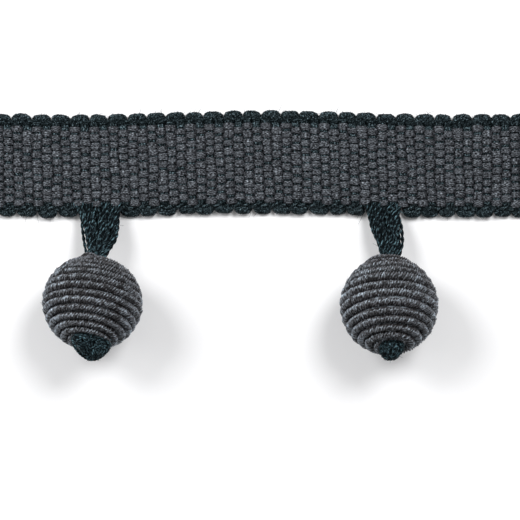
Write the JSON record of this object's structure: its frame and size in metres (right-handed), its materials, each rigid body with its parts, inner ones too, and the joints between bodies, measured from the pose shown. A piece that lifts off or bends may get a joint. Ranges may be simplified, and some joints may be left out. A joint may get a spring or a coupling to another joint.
{
  "type": "beaded fringe trim",
  "caption": "Flat woven braid with looped edges, from whose lower edge thread-wound round beads hang on short bundles of yarn, each held by a knot.",
  "frame": {"origin": "under the middle of the tape, on the back face that rests on the surface, half way between the hangers", "axes": "+X along the tape, +Y across it away from the beads, +Z out of the tape's face, away from the surface it lies on"},
  "size_m": [0.088, 0.0385, 0.0148],
  "materials": {
    "grey_yarn": "matt slate-grey spun yarn with a soft sheen",
    "dark_yarn": "dark blue-green twisted yarn, slightly glossy and fuzzy"
  },
  "bodies": {
    "root": {"tape": "grey_yarn", "edge_upper": "dark_yarn", "edge_lower_left": "dark_yarn", "edge_lower_middle": "dark_yarn", "edge_lower_right": "dark_yarn", "hanger_left": "dark_yarn", "hanger_right": "dark_yarn", "bead_left": "grey_yarn", "bead_right": "grey_yarn"}
  },
  "joints": []
}
